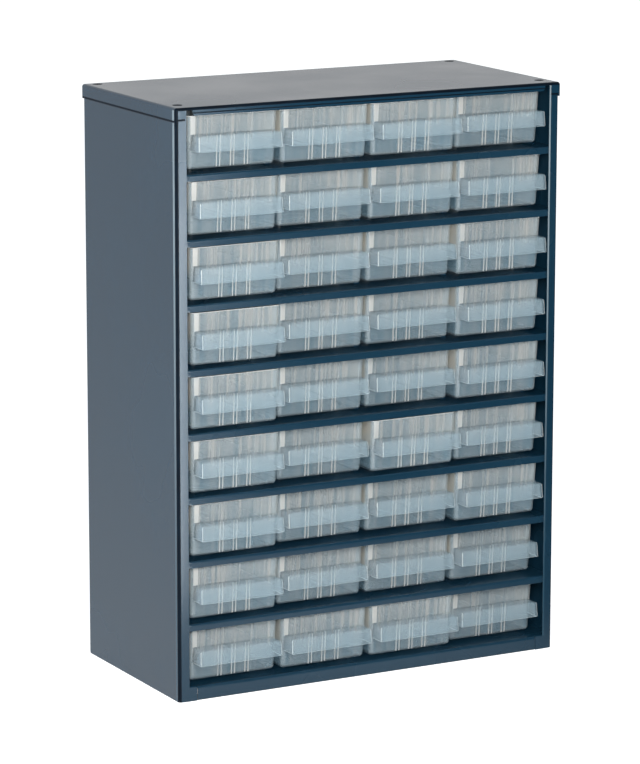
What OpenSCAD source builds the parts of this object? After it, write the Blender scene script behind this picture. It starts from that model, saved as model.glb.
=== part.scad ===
// Parts bin cabinet: a folded sheet-steel case with rows of clear plastic drawers.
// Millimetres. +Z is up and -Y is the drawer side. The origin is the middle of the footprint,
// hoods of the drawers included, on the surface that the cabinet stands on.

/* [Drawer] */
// Width of a drawer over its rim
drawer_w = 69; // [40:0.5:90]
// Length of a drawer at its rim
drawer_l = 135; // [90:1:200]
// Height of a drawer's moulded body, without its runners
drawer_h = 37.2; // [30:0.5:60]
// Thickness of a drawer's walls and floor
drawer_wall = 1.3; // [1:0.1:2]
// How much each side wall leans in from rim to floor
side_draft = 1.1; // [0:0.05:2]
// How much the front and rear walls lean in from rim to floor
end_draft = 2.5; // [0:0.1:4]
// Radius of the upright corners of a drawer
corner_r = 3; // [2.2:0.1:6]
// Radius between the side walls and the floor, outside
floor_r = 2.5; // [2.2:0.1:5]

/* [Hood handle] */
// Height of the hood's top above the drawer's floor
hood_top = 24.4; // [18:0.1:28]
// Height of the hood's front panel
hood_h = 11; // [7:0.1:14]
// Reach of the hood's top in front of the rim
hood_reach = 11; // [5:0.1:16]
// Extra reach of the hood's lower edge
hood_flare = 1; // [0:0.1:4]
// Width of the hood at its top
hood_w = 63.2; // [38:0.5:65.5]
// How much wider than its top the hood is on each side of its lower edge
hood_spread = 0.4; // [0:0.1:1.2]
// Thickness of the hood's plates
hood_wall = 1.2; // [0.8:0.1:2]

/* [Drawer details] */
// Distance between the pairs of ribs on the front wall
rib_pair_pitch = 10.7; // [6:0.1:18]
// Distance between the two ribs of a pair
rib_gap = 2.5; // [1.5:0.1:4]
// Width of a rib
rib_w = 0.7; // [0.4:0.1:1]
// How far a rib stands out of the front wall
rib_out = 0.5; // [0.3:0.1:1]
// Height of the runners under a drawer
runner_h = 2.1; // [1:0.1:3]
// Width of a runner
runner_w = 1.8; // [1:0.1:3]
// Distance between the two runners of a drawer
runner_span = 46; // [20:1:56]
// Distance from a drawer's front to its runners
runner_inset = 20; // [8:1:40]
// Length of the stop tab on a drawer's rim
stop_l = 5; // [3:0.5:10]
// Distance from a drawer's rear end to its stop tabs
stop_inset = 17; // [8:1:30]
// How far down a stop tab's root reaches into the wall
stop_root = 2; // [1:0.1:4]
// Number of divider slots in a drawer
divider_slots = 3; // [1:1:4]
// Width of a divider slot
slot_w = 1.4; // [1:0.1:2]
// How far the ribs of a divider slot stand out of the side wall
slot_rib = 0.9; // [0.6:0.1:1.5]
// How far below the rim the ribs of a divider slot end
slot_drop = 2.5; // [1:0.1:12]

/* [Layout] */
// Number of rows of drawers
rows = 9; // [2:1:10]
// Number of columns of drawers
columns = 4; // [2:1:4]
// Gap between the rims of two drawers in a row
drawer_gap = 2; // [1.5:0.1:9]
// Gap between an outer drawer's place in its row and the side flange
flange_gap = 2.2; // [1:0.1:6]
// Free height over a drawer's rim, under the lip above it
head_gap = 0.8; // [0.6:0.1:4]
// Running gap between a drawer's runners and its shelf
slide_gap = 0.2; // [0.1:0.05:0.4]
// How far a drawer's rim stands behind the front of the cabinet
setback = 7; // [6:0.1:12]
// Free depth behind a drawer
rear_gap = 5.6; // [5:0.1:10]
// How far each drawer is pushed in behind the setback, for each row from the top; minus is out
push = [
    [-1.6, -2.7, -2.9, 1.8],
    [-2.9, 1.8, 0.2, -0.5],
    [-4.2, 2.7, 3.2, -1.9],
    [-5.6, 2.1, 3.2, -1.1],
    [-5, 2.3, 4, -1.8],
    [-4.2, 2.6, -5, -1],
    [-4, 2.6, 3.1, -1.6],
    [-2.4, 3.2, 3.1, 3.9],
    [-0.5, -2.6, -3.5, 3.5]
];

/* [Sheet steel] */
// Thickness of the sheet
sheet = 0.8; // [0.6:0.1:1.2]
// Outer radius of a fold
fold_r = 2; // [1.5:0.1:3]
// Width of the side sheets' front flange, over the side sheet
flange_w = 8; // [6:0.5:14]
// Width of the side sheets' rear flange, over the side sheet
rear_flange_w = 13; // [10:0.5:20]
// Outer radius of the shelves' folds
shelf_fold_r = 1.6; // [1.2:0.1:2]
// Height of the shelves' front lip
lip_h = 4.8; // [4:0.1:10]
// Length over which the ends of a shelf's lip step back, to pass behind the side flanges
lip_step = 2; // [1:0.1:3.5]
// Height of the shelves' side and rear folds
shelf_fold_h = 8; // [5:0.5:14]
// Height of the base tray
base_h = 10; // [8:0.5:40]
// Depth of the hem along the base tray's lower edges
hem_d = 12; // [8:1:30]
// Width of the foot tab beside the base tray's lip
foot_w = 6; // [4:0.5:10]
// Gap between the base tray's lip and a foot tab
foot_gap = 0.4; // [0.2:0.1:1]

/* [Top cap] */
// Height of the top cap's front lip
cap_lip_h = 5.9; // [4:0.1:10]
// Height of the top cap's side and rear skirts
cap_skirt_h = 10; // [9:0.5:20]
// Height of the top cap's corner tabs
cap_tab_h = 9; // [7:0.5:9]
// Width of the top cap's corner tabs
cap_tab_w = 6; // [4:0.5:8]
// Gap between the side flange's inner edge and the end of the top cap's front lip
cap_notch_w = 4.2; // [2:0.1:8]
// How much each end of the top cap's front lip slants in
cap_lip_slant = 2; // [0.5:0.1:5]
// Depth of the crease along the top cap's front lip
crease_d = 0.3; // [0.1:0.05:0.4]
// Height of the crease
crease_h = 0.8; // [0.4:0.1:1.2]
// Diameter of the holes in the top cap
cap_hole_d = 7; // [4:0.5:10]
// Distance from a hole's centre to the side of the top cap
cap_hole_side = 9; // [7:0.5:20]
// Distance from a front hole's centre to the front of the top cap
cap_hole_front = 15; // [8:0.5:30]
// Distance from a rear hole's centre to the rear of the top cap
cap_hole_rear = 8; // [7:0.5:30]

/* [Guide beads] */
// Width of a guide bead at its foot
bead_w = 4; // [3:0.1:4.5]
// Height of a guide bead
bead_h = 1.5; // [0.8:0.1:2]
// Distance from the cabinet's front to a guide bead
bead_front = 23; // [10:1:40]
// Distance from the cabinet's rear to a guide bead
bead_rear = 20; // [10:1:40]

/* [Back] */
// Diameter of the wall fixing holes in the back panel
wall_hole_d = 6; // [4:0.5:8]
// Distance between the wall fixing holes across the back
wall_hole_span = 240; // [40:1:260]
// Number of rows from one rivet to the next
rivet_rows = 2; // [1:1:4]
// Diameter of a rivet's shank
rivet_d = 3.2; // [2.4:0.1:4]
// Diameter of a rivet's head
rivet_head_d = 6.4; // [5:0.1:8]
// Diameter of a rivet's upset end, inside
rivet_upset_d = 4.4; // [4.2:0.1:5.6]
// Height of a rivet's upset end, inside
rivet_upset_h = 1.6; // [1:0.1:1.8]

/* [Hidden] */
// Small overlap that joins two solids, and the extra reach of a cut past the solid's face.
eps = 0.01;
cut = 1;
// Chords in a quarter turn of a fold.
fold_steps = 5;
// How deep the hood's root reaches into the front wall, as a share of the wall's thickness.
root_share = 0.9;
// Clearances: round a rivet's shank, over a stop tab, and round the edges of the back panel.
rivet_fit = 0.05;
stop_clear = 1.3;
back_clear = 1;

// Pitch of the columns and rows, and the free height between a floor and the lip above it.
column_pitch = drawer_w + drawer_gap;
row_open = slide_gap + runner_h + drawer_h + head_gap;
row_pitch = row_open + lip_h;

// The case without the hoods, and the place of its front and rear.
body_w = columns * column_pitch + 2 * (flange_gap + flange_w + sheet);
body_d = setback + drawer_l + rear_gap + 3 * sheet;
body_h = base_h + rows * row_open + (rows - 1) * lip_h + cap_lip_h;

hood_out = hood_reach + hood_flare - setback - min([for (row = push) min(row)]);
front_y = (hood_out - body_d) / 2;
rear_y = front_y + body_d;

// Planes of the sheets, from the front and rear of the cabinet inwards.
side_x = body_w / 2 - sheet;
inner_x = side_x - sheet;
flange_x = side_x - flange_w;
flange_y = front_y + sheet;
lip_y = flange_y + sheet;
back_y = rear_y - sheet;
rear_flange_y = back_y - sheet;
shelf_rear_y = rear_flange_y - sheet;

// A drawer's rim over its floor, its stop tab's height, and places across the width.
rim_z = slide_gap + runner_h + drawer_h;
stop_h = row_pitch - sheet - rim_z - stop_clear;
foot_x = flange_x - foot_w;
rivet_x = side_x - rear_flange_w / 2;

STEEL = [0.16, 0.24, 0.32];
CLEAR = [0.78, 0.83, 0.85];
RIVET = [0.70, 0.71, 0.72];

function drawer_name(r, c) = str("drawer_r", r, "_c", c);
function shelf_name(k) = str("shelf_", k);

// Row 1 is the top row and column 1 the left one, as seen from the front.
function row_z(r) = base_h + (rows - r) * row_pitch;
function column_x(c) = (c - (columns + 1) / 2) * column_pitch;
function row_mid_z(r) = row_z(r) + row_open / 2;
function push_y(r, c) = push[(r - 1) % len(push)][(c - 1) % len(push[0])];

function arc(x, y, r, a0, a1) =
    [for (i = [0:fold_steps]) let (a = a0 + (a1 - a0) * i / fold_steps)
        [x + r * cos(a), y + r * sin(a)]];

// Outline of a folded channel: floor from x0 to x1 at the top, legs of two lengths hanging down.
function channel(x0, x1, top, leg0, leg1, r) = concat(
    [[x0, top - leg0]],
    arc(x0 + r, top - r, r, 180, 90),
    arc(x1 - r, top - r, r, 90, 0),
    [[x1, top - leg1], [x1 - sheet, top - leg1]],
    arc(x1 - r, top - r, r - sheet, 0, 90),
    arc(x0 + r, top - r, r - sheet, 90, 180),
    [[x0 + sheet, top - leg0]]
);

// Extrudes an outline drawn in Y and Z along X, between two places.
module along_x(x0, x1) {
    translate([x0, 0, 0]) rotate([90, 0, 90]) linear_extrude(x1 - x0) children();
}

// Extrudes an outline drawn in X and Z along Y, between two places.
module along_y(y0, y1) {
    translate([0, y1, 0]) rotate([90, 0, 0]) linear_extrude(y1 - y0) children();
}

module block(x0, x1, y0, y1, z0, z1) {
    translate([x0, y0, z0]) cube([x1 - x0, y1 - y0, z1 - z0]);
}

// ---------------------------------------------------------------- sheet steel

module cap_shape(inset, r) {
    x = body_w / 2 - inset;
    y0 = front_y + inset;
    y1 = rear_y - inset;
    z0 = body_h - cap_skirt_h;
    z1 = body_h - inset;
    bottom = z0 - (inset > 0 ? eps : 0);
    intersection() {
        along_y(y0, y1) polygon(concat([[x, bottom]], arc(x - r, z1 - r, r, 0, 90),
            arc(r - x, z1 - r, r, 90, 180), [[-x, bottom]]));
        along_x(-x, x) polygon(concat([[y1, bottom]], arc(y1 - r, z1 - r, r, 0, 90),
            arc(y0 + r, z1 - r, r, 90, 180), [[y0, bottom]]));
    }
}

// What is cut from the front skirt, to leave the lip, its slanted ends and the corner tabs.
module cap_front_cut() {
    tab_x0 = flange_x + (flange_w - cap_tab_w) / 2;
    tab_x1 = tab_x0 + cap_tab_w;
    lip_x = flange_x - cap_notch_w;
    z0 = body_h - cap_skirt_h - cut;
    lip_z = body_h - cap_lip_h;
    top_z = body_h - fold_r;
    along_y(front_y - cut, flange_y + eps) {
        polygon([[cap_lip_slant - lip_x, lip_z], [-lip_x, top_z], [-tab_x0, top_z], [-tab_x0, z0],
            [tab_x0, z0], [tab_x0, top_z], [lip_x, top_z], [lip_x - cap_lip_slant, lip_z]]);
        for (s = [-1, 1]) {
            polygon([[s * tab_x1, z0], [s * tab_x1, top_z], [s * side_x, top_z], [s * side_x, z0]]);
            polygon([[s * tab_x0, z0], [s * tab_x0, body_h - cap_tab_h],
                [s * tab_x1, body_h - cap_tab_h], [s * tab_x1, z0]]);
        }
    }
}

module top_cap() color(STEEL) difference() {
    cap_shape(0, fold_r);
    cap_shape(sheet, fold_r - sheet);
    cap_front_cut();
    crease_x = flange_x - cap_notch_w;
    block(-crease_x, crease_x, front_y - cut, front_y + crease_d,
        body_h - (cap_lip_h + crease_h) / 2, body_h - (cap_lip_h - crease_h) / 2);
    for (sx = [-1, 1])
        for (y = [front_y + cap_hole_front, rear_y - cap_hole_rear])
            translate([sx * (body_w / 2 - cap_hole_side), y, body_h - sheet - cut])
                cylinder(h = sheet + 2 * cut, d = cap_hole_d, $fn = 32);
}

// The side sheet on the +X side: a channel with a front and a rear flange, and a foot tab.
module side_sheet() difference() {
    union() {
        linear_extrude(body_h - fold_r)
            polygon([for (p = channel(flange_y, rear_flange_y, side_x, flange_w, rear_flange_w, fold_r))
                [p[1], p[0]]]);
        block(foot_x, flange_x + eps, flange_y, lip_y, 0, base_h);
    }
    for (r = [1:rivet_rows:rows]) rivet_hole(row_mid_z(r));
}

// A hole through the rear flange and the back panel, for a rivet.
module rivet_hole(z)
    translate([rivet_x, shelf_rear_y - cut, z])
        rotate([-90, 0, 0]) cylinder(h = 2 * (sheet + cut), d = rivet_d + 2 * rivet_fit, $fn = 24);

module right_side() color(STEEL) side_sheet();
module left_side() color(STEEL) mirror([1, 0, 0]) side_sheet();

// A guide bead, pressed up out of a floor whose top is at z = 0.
module bead_outline(w, h, z) {
    polygon([[-w / 2, z], [h / 2 - w / 2, z + h], [w / 2 - h / 2, z + h], [w / 2, z]]);
}

module beads() {
    for (i = [0:columns])
        translate([(i - columns / 2) * column_pitch, 0, 0])
            along_y(front_y + bead_front, rear_y - bead_rear) bead_outline(bead_w, bead_h, -eps);
}

module bead_hollows() {
    for (i = [0:columns])
        translate([(i - columns / 2) * column_pitch, 0, 0])
            along_y(front_y + bead_front + sheet, rear_y - bead_rear - sheet)
                bead_outline(bead_w - sheet, bead_h, -sheet - eps);
}

// Room for the folds of the side sheets at the four corners of a floor.
module corner_cuts(z0, z1) {
    for (sx = [0, 1]) mirror([sx, 0, 0]) {
        block(inner_x - fold_r, inner_x + cut, lip_y - cut, lip_y + fold_r, z0, z1);
        block(inner_x - fold_r, inner_x + cut, shelf_rear_y - fold_r, shelf_rear_y + cut, z0, z1);
    }
}

// The folds down along both sides of a floor, which are welded to the side sheets.
module side_folds(z0, z1)
    for (s = [0, 1]) mirror([s, 0, 0])
        block(inner_x - sheet, inner_x, lip_y + fold_r, shelf_rear_y - fold_r, z0, z1);

// A shelf: its lip is level with the side flanges, and its ends step back behind them.
module shelf() difference() {
    step_x = flange_x - lip_step;
    union() {
        along_x(-step_x, step_x)
            polygon(channel(flange_y, shelf_rear_y, 0, lip_h, shelf_fold_h, shelf_fold_r));
        for (s = [0, 1]) mirror([s, 0, 0]) along_x(step_x - sheet, inner_x)
            polygon(channel(lip_y, shelf_rear_y, 0, lip_h, shelf_fold_h, shelf_fold_r));
        side_folds(-shelf_fold_h, -sheet / 2);
        beads();
    }
    bead_hollows();
    corner_cuts(-shelf_fold_h - cut, cut);
}

module base_tray() color(STEEL) difference() {
    lip_x = foot_x - foot_gap;
    union() {
        along_x(-lip_x, lip_x)
            polygon(channel(flange_y, shelf_rear_y, base_h, base_h, base_h, fold_r));
        block(-lip_x, lip_x, flange_y, flange_y + hem_d, 0, sheet);
        block(-lip_x, lip_x, shelf_rear_y - hem_d, shelf_rear_y, 0, sheet);
        block(-inner_x, inner_x, lip_y, shelf_rear_y - fold_r, base_h - sheet, base_h);
        side_folds(0, base_h - sheet / 2);
        translate([0, 0, base_h]) beads();
    }
    translate([0, 0, base_h]) bead_hollows();
    corner_cuts(-cut, base_h + cut);
}

module back_panel() color(STEEL) difference() {
    block(-side_x + back_clear, side_x - back_clear, rear_flange_y, back_y,
        back_clear, body_h - fold_r - back_clear);
    for (s = [0, 1]) mirror([s, 0, 0]) {
        for (r = [1:rivet_rows:rows]) rivet_hole(row_mid_z(r));
        for (r = [1, rows])
            translate([wall_hole_span / 2, rear_flange_y - cut, row_mid_z(r)])
                rotate([-90, 0, 0]) cylinder(h = sheet + 2 * cut, d = wall_hole_d, $fn = 32);
    }
}

// A pop rivet: a flat head outside, the shank, and the upset end inside.
module rivet() {
    translate([0, 0, -2 * sheet - eps]) cylinder(h = 2 * (sheet + eps), d = rivet_d, $fn = 24);
    cylinder(h = sheet, d1 = rivet_head_d, d2 = rivet_head_d - sheet, $fn = 24);
    translate([0, 0, -2 * sheet - rivet_upset_h])
        cylinder(h = rivet_upset_h, d = rivet_upset_d, $fn = 24);
}

module back_rivets() color(RIVET) {
    for (s = [-1, 1])
        for (r = [1:rivet_rows:rows])
            translate([s * rivet_x, back_y, row_mid_z(r)]) rotate([-90, 0, 0]) rivet();
}

// --------------------------------------------------------------------- drawer
// A drawer is drawn with the middle of its rim's front edge at x = 0 and y = 0,
// and the underside of its floor at z = 0.

// The drafted tub, drawn in by one value on the walls and one at the floor.
module tub(inset, floor_z, top_z) {
    lean_x = side_draft / drawer_h;
    lean_y = end_draft / drawer_h;
    side_top = drawer_w / 2 - inset + (top_z - drawer_h) * lean_x;
    side_low = drawer_w / 2 - inset + (floor_z - drawer_h) * lean_x;
    front_top = inset - (top_z - drawer_h) * lean_y;
    front_low = inset - (floor_z - drawer_h) * lean_y;
    rear_top = drawer_l - front_top;
    rear_low = drawer_l - front_low;
    r = floor_r - inset;
    rc = corner_r - inset;
    intersection() {
        along_y(front_top - cut, rear_top + cut) polygon(concat([[side_top, top_z]],
            arc(side_low - r, floor_z + r, r, 0, -90), arc(r - side_low, floor_z + r, r, -90, -180),
            [[-side_top, top_z]]));
        along_x(-side_top - cut, side_top + cut)
            polygon([[front_top, top_z], [front_low, floor_z], [rear_low, floor_z], [rear_top, top_z]]);
        translate([0, 0, floor_z - cut]) linear_extrude(top_z - floor_z + 2 * cut) polygon(concat(
            arc(side_top - rc, front_top + rc, rc, -90, 0), arc(side_top - rc, rear_top - rc, rc, 0, 90),
            arc(rc - side_top, rear_top - rc, rc, 90, 180),
            arc(rc - side_top, front_top + rc, rc, 180, 270)));
    }
}

// Front face of the front wall at a height over the floor's underside.
function wall_y(z) = end_draft * (1 - z / drawer_h);

// The hood's outline from the side, and below it its outline from the front.
module hood_outline(inset, low) {
    z1 = hood_top - inset;
    z0 = hood_top - hood_h - low;
    slope = hood_flare / hood_h;
    y_top = -hood_reach + inset;
    root = root_share * drawer_wall;
    polygon([[wall_y(z1) + root, z1], [y_top - slope * inset, z1],
        [y_top - slope * (z1 - z0 + inset), z0], [wall_y(z0) + root, z0]]);
}

module hood_width(inset, low) {
    x = hood_w / 2 - inset;
    x_low = x + hood_spread / hood_h * (hood_h + low);
    z0 = hood_top - hood_h - low;
    polygon([[x, hood_top], [-x, hood_top], [-x_low, z0], [x_low, z0]]);
}

module hood_solid(inset, low) intersection() {
    along_x(-drawer_w, drawer_w) hood_outline(inset, low);
    along_y(-2 * drawer_w, drawer_w) hood_width(inset, low);
}

// Ribs in pairs on the front wall, from the floor's rounding up to the hood.
module front_ribs() {
    z0 = floor_r / 2;
    z1 = hood_top - hood_wall / 2;
    for (pair = [-1:1])
        for (side = [-1, 1])
            translate([pair * rib_pair_pitch + side * rib_gap / 2, 0, 0])
                along_x(-rib_w / 2, rib_w / 2)
                    polygon([[wall_y(z0) - rib_out, z0], [wall_y(z0) + drawer_wall / 2, z0],
                        [wall_y(z1) + drawer_wall / 2, z1], [wall_y(z1) - rib_out, z1]]);
}

// Pairs of ribs inside the side walls that hold upright dividers.
module divider_ribs() {
    z0 = drawer_wall / 2;
    z1 = drawer_h - slot_drop;
    inner = drawer_w / 2 - drawer_wall;
    lean = side_draft / drawer_h;
    for (k = [1:divider_slots])
        for (side = [-1, 1])
            for (edge = [-1, 1])
                translate([0, k * drawer_l / (divider_slots + 1) + edge * (slot_w + slot_rib) / 2, 0])
                    along_y(-slot_rib / 2, slot_rib / 2)
                        polygon([for (p = [[inner - lean * (drawer_h - z1) + drawer_wall / 2, z1],
                            [inner - lean * (drawer_h - z1) - slot_rib, z1],
                            [inner - side_draft - slot_rib, z0],
                            [inner - side_draft + drawer_wall / 2 - floor_r / 2, z0]])
                            [side * p[0], p[1]]]);
}

// Tabs on the rim that stop the drawer at the lip over it when it is drawn out.
module stop_tabs() {
    x1 = drawer_w / 2 - side_draft * stop_root / drawer_h;
    for (s = [0, 1]) mirror([s, 0, 0])
        block(x1 - drawer_wall, x1, drawer_l - stop_inset - stop_l, drawer_l - stop_inset,
            drawer_h - stop_root, drawer_h + stop_h);
}

module runners() {
    for (s = [-1, 1])
        block(s * runner_span / 2 - runner_w / 2, s * runner_span / 2 + runner_w / 2,
            runner_inset, drawer_l - end_draft - corner_r, -runner_h, drawer_wall / 2);
}

module drawer() {
    difference() {
        union() {
            tub(0, 0, drawer_h);
            hood_solid(0, 0);
        }
        difference() {
            hood_solid(hood_wall, cut);
            tub(0, 0, drawer_h);
        }
        tub(drawer_wall, drawer_wall, drawer_h + cut);
    }
    front_ribs();
    divider_ribs();
    stop_tabs();
    runners();
}

module placed_drawer(r, c) {
    color(CLEAR)
        translate([column_x(c), front_y + setback + push_y(r, c), row_z(r) + slide_gap + runner_h])
            drawer();
}

top_cap();
base_tray();
left_side();
right_side();
back_panel();
back_rivets();
for (k = [1:rows - 1])
    translate([0, 0, row_z(k)]) color(STEEL) shelf();
for (r = [1:rows])
    for (c = [1:columns])
        placed_drawer(r, c);
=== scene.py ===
"""Parts bin cabinet: a folded steel case whose shelves hold rows of frosted plastic drawers."""
import contextlib
import math

import bmesh
import bpy
from bpy.props import FloatProperty, FloatVectorProperty, IntProperty, PointerProperty
from mathutils import Euler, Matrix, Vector


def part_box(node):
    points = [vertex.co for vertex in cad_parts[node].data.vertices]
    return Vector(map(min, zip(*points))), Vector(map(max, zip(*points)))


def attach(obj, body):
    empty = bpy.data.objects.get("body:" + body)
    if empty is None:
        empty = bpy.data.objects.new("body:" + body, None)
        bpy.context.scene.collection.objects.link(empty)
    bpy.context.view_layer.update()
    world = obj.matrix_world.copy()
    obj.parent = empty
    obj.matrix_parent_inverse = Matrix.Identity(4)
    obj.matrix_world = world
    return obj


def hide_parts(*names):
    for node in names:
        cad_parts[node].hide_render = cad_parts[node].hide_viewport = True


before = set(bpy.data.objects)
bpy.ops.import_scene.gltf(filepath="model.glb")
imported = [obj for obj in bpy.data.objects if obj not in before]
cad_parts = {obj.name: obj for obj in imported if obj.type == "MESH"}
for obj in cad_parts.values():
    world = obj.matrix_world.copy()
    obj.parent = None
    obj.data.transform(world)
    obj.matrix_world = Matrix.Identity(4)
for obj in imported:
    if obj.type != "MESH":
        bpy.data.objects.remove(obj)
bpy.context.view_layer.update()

bl_info = {
    "name": "Parts bin cabinet",
    "version": (1, 0, 0),
    "blender": (4, 5, 0),
    "location": "View3D > Sidebar > Cabinet",
    "description": "Builds a folded steel cabinet with rows of frosted plastic drawers",
    "category": "Add Mesh",
}

SHELVES = sorted(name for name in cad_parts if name.startswith("shelf_"))
DRAWERS = sorted(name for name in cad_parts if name.startswith("drawer_"))
TINY = 1e-5

# The axes, as places in a vector.
X, Y, Z = range(3)

# How much of a direction lies along an axis when a face or edge counts as straight along it, or as
# turned towards it, and the bend between two faces when their edge counts as a corner.
STRAIGHT = 0.95
TURNED = 0.05
SHARP = math.radians(50)

# The finishes of a steel sheet and of a drawer, and the place in each list of all but the first.
COATS = ("blue_powder_coat", "dark_fold_coat", "light_fold_coat")
# The second coat is painted shade and dark reflection, the third a painted highlight.
SHADE_FINISH, HIGHLIGHT_FINISH = range(1, 3)
PLASTICS = ("frosted_plastic", "bright_plastic_edge", "pale_plastic_corner", "smooth_hood_plastic",
            "side_wall_plastic", "clear_floor_plastic", "white_plastic_band")
EDGE_FINISH, CORNER_FINISH, HOOD_FINISH, SIDE_FINISH, FLOOR_FINISH, BAND_FINISH = range(1, 7)


def length(name, description, default):
    """A size in metres."""
    return FloatProperty(name=name, description=description, default=default, unit="LENGTH", precision=5)


def turn(name, description, degrees):
    """An angle, given in degrees."""
    return FloatProperty(name=name, description=description, default=math.radians(degrees),
                         subtype="ANGLE", unit="ROTATION")


def share(name, description, default):
    """A share from 0 to 1."""
    return FloatProperty(name=name, description=description, default=default, min=0, max=1, subtype="FACTOR")


def amount(name, description, default):
    """A plain number from 0 up."""
    return FloatProperty(name=name, description=description, default=default, min=0)


def count(name, description, default):
    """A number of copies, two or more."""
    return IntProperty(name=name, description=description, default=default, min=2)


def power(name, description, default):
    """A lamp's power in watts."""
    return FloatProperty(name=name, description=description, default=default, unit="POWER")


def colour(name, description, default):
    """A colour."""
    return FloatVectorProperty(name=name, description=description, default=default,
                               size=3, min=0, max=1, subtype="COLOR")


def spot(name, description, default):
    """A place in the scene, in metres."""
    return FloatVectorProperty(name=name, description=description, default=default,
                               size=3, subtype="TRANSLATION", unit="LENGTH", precision=5)


# ------------------------------------------------------------------------------ sizes and colours

class SheetSizes(bpy.types.PropertyGroup):
    """Sizes of the folded steel pieces."""

    sheet: length("Sheet", "Thickness of the steel", 0.0008)
    fold: length("Fold", "Outer radius of a fold", 0.002)
    shelf_fold: length("Shelf fold", "Outer radius of a shelf's folds", 0.0016)
    # The cap's front fold carries a painted dark reflection from this turn of its faces on.
    shade_turn: share("Dark turn", "How far a face of the cap's front fold is turned where it gets dark", 0.2)
    edge: length("Edge", "Radius of a cut edge under its paint", 0.0002)
    edge_angle: turn("Edge angle", "Bend from which an edge counts as a cut one", 50)
    front_flange: length("Front flange", "Width of a side sheet's front flange", 0.008)
    rear_flange: length("Rear flange", "Width of a side sheet's rear flange", 0.013)
    foot_width: length("Foot width", "Width of the tab at the foot of a front flange", 0.006)
    foot_height: length("Foot height", "Height of that tab", 0.010)
    foot_round: length("Foot round", "Radius between the flange and its tab", 0.0012)
    spring: length("Spring", "How far a front flange's outer edge stands behind its inner one", 0.0006)
    shelf_lip: length("Shelf lip", "Height of a shelf's front lip", 0.0048)
    lip_step: length("Lip step", "Where the lip starts to step back, from the side flange", 0.002)
    lip_slant: length("Lip slant", "Length of the slant in that step", 0.0012)
    corner_cut: length("Corner cut", "Size of the notch in a floor's corners", 0.002)
    cap_lip: length("Cap lip", "Height of the cap's front lip", 0.0059)
    cap_lip_end: length("Cap lip end", "Half the length of the cap's front lip", 0.140)
    cap_lip_slant: length("Cap lip slant", "How far each end of that lip slants in", 0.002)
    cap_tab: length("Cap tab", "Height of the cap's corner tabs", 0.009)
    cap_tab_width: length("Cap tab width", "Reach of a corner tab from the cap's side", 0.0075)
    crease: length("Crease", "Depth of the crease along the cap's lip", 0.0002)
    crease_height: length("Crease height", "Height of that crease", 0.0008)
    # Painted shade along the lower edges of the cap's side skirts and corner tabs.
    shade_line: length("Shade line", "Height of the dark edge under the cap's skirt", 0.0014)
    # The next two widths are of painted highlights: a line beside the left front bend, and a strip along the
    # right flange's inner edge.
    highlight_line: length("Light line", "Width of the bright line beside the left front corner", 0.0028)
    highlight_edge: length("Light edge", "Width of the bright line along the right flange's inner edge", 0.0013)
    cap_hole: length("Cap hole", "Diameter of the holes in the cap", 0.007)
    cap_hole_side: length("Cap hole side", "Distance of a hole from the cap's side", 0.009)
    cap_hole_front: length("Cap hole front", "Distance of a front hole from the cap's front", 0.015)
    cap_hole_rear: length("Cap hole rear", "Distance of a rear hole from the cap's rear", 0.008)
    hem: length("Hem", "Depth of the hems under the base tray", 0.012)
    bead_width: length("Bead width", "Width of a guide bead", 0.004)
    bead_height: length("Bead height", "Height of a guide bead", 0.0015)
    bead_round: share("Bead round", "Radius of a bead's upper edges, as a share of its height", 0.8)
    bead_front: length("Bead front", "Distance of a guide bead from the front", 0.023)
    bead_rear: length("Bead rear", "Distance of a guide bead from the rear", 0.020)
    column_pitch: length("Column pitch", "Distance between the columns of drawers", 0.071)
    rivet_head: length("Rivet head", "Diameter of a rivet's head", 0.0064)
    rivet_dome: share("Rivet dome", "Radius of its edge, as a share of its height", 0.8)
    rivet_rows: count("Rivet rows", "Rivets at each side of the back panel", 5)


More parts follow.
